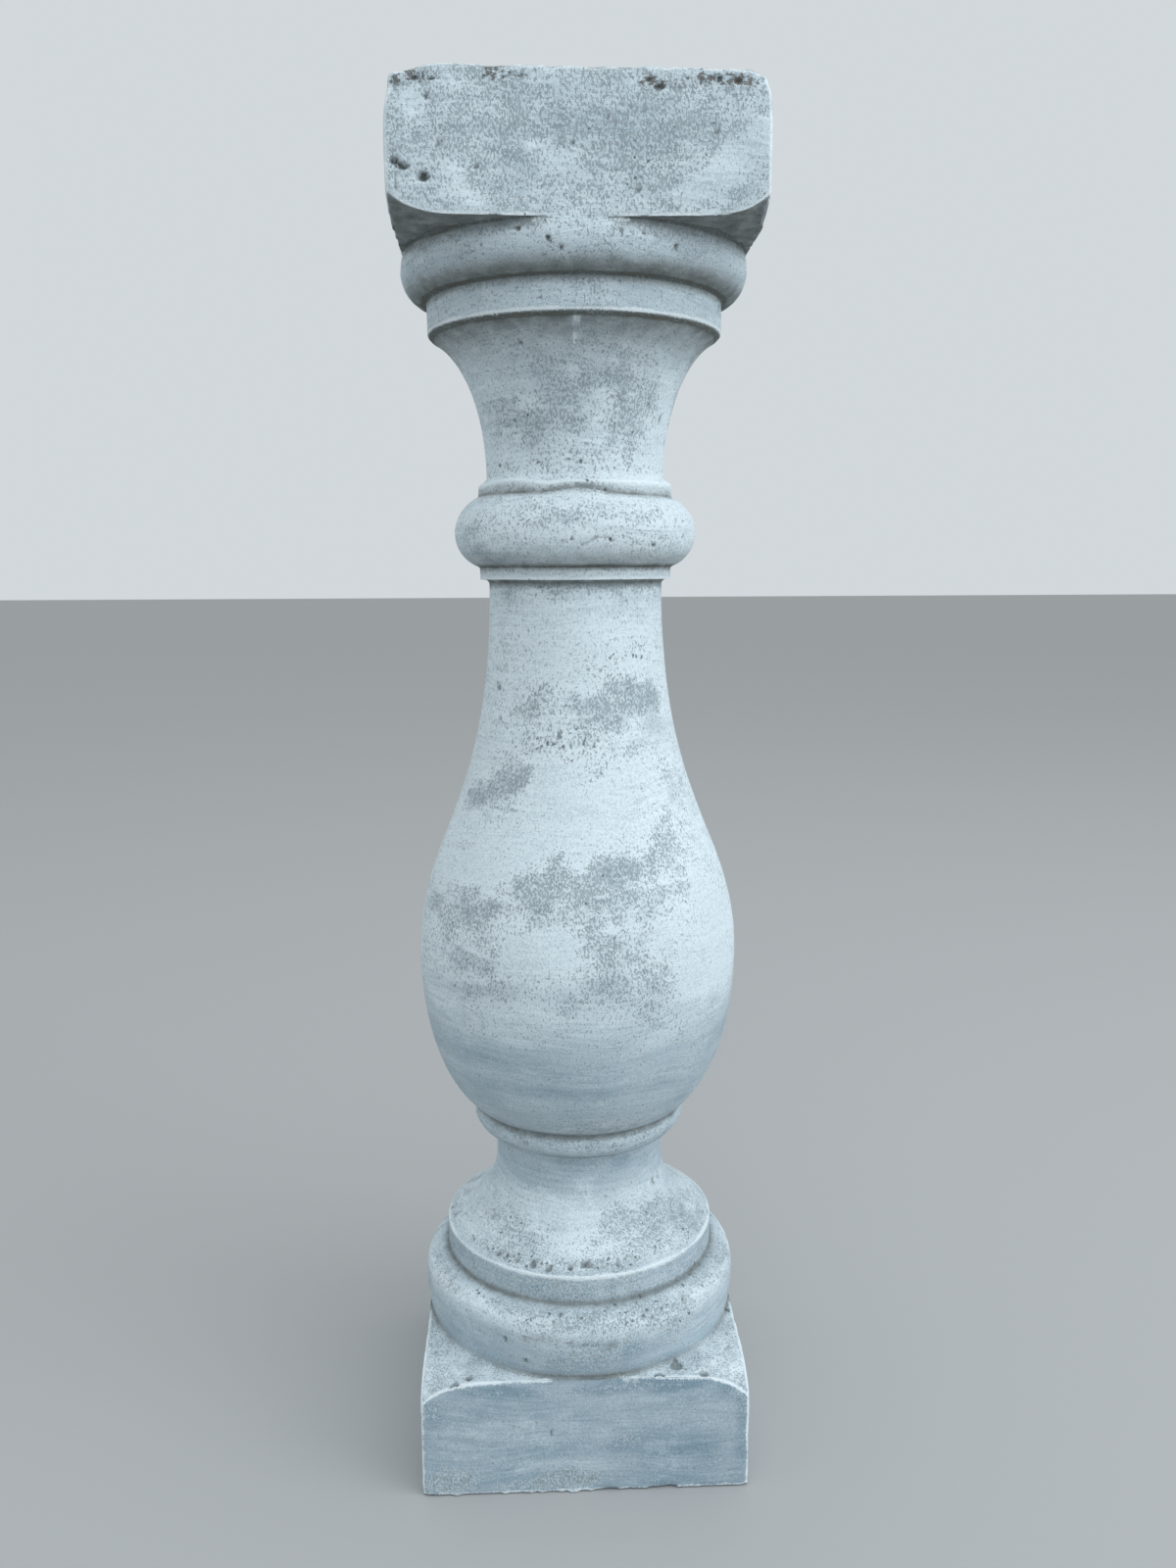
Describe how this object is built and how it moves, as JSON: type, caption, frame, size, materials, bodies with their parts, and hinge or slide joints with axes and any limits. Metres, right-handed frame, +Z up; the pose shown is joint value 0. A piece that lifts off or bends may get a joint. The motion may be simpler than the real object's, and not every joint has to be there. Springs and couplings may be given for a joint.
{
  "type": "stone baluster",
  "caption": "Cast stone baluster with a square plinth and abacus and a turned pear-shaped shaft, for a garden balustrade or terrace parapet.",
  "frame": {"origin": "centre of the plinth's underside", "axes": "+Z up along the baluster's axis, towards the abacus; the block faces are square to X and Y, and -Y is the face in the picture"},
  "size_m": [0.154, 0.154, 0.606],
  "materials": {
    "limewashed_concrete": "pale blue-white limewash, brushed thin and worn, over pitted grey cast concrete, matt"
  },
  "bodies": {
    "root": {"baluster": "limewashed_concrete"}
  },
  "joints": []
}
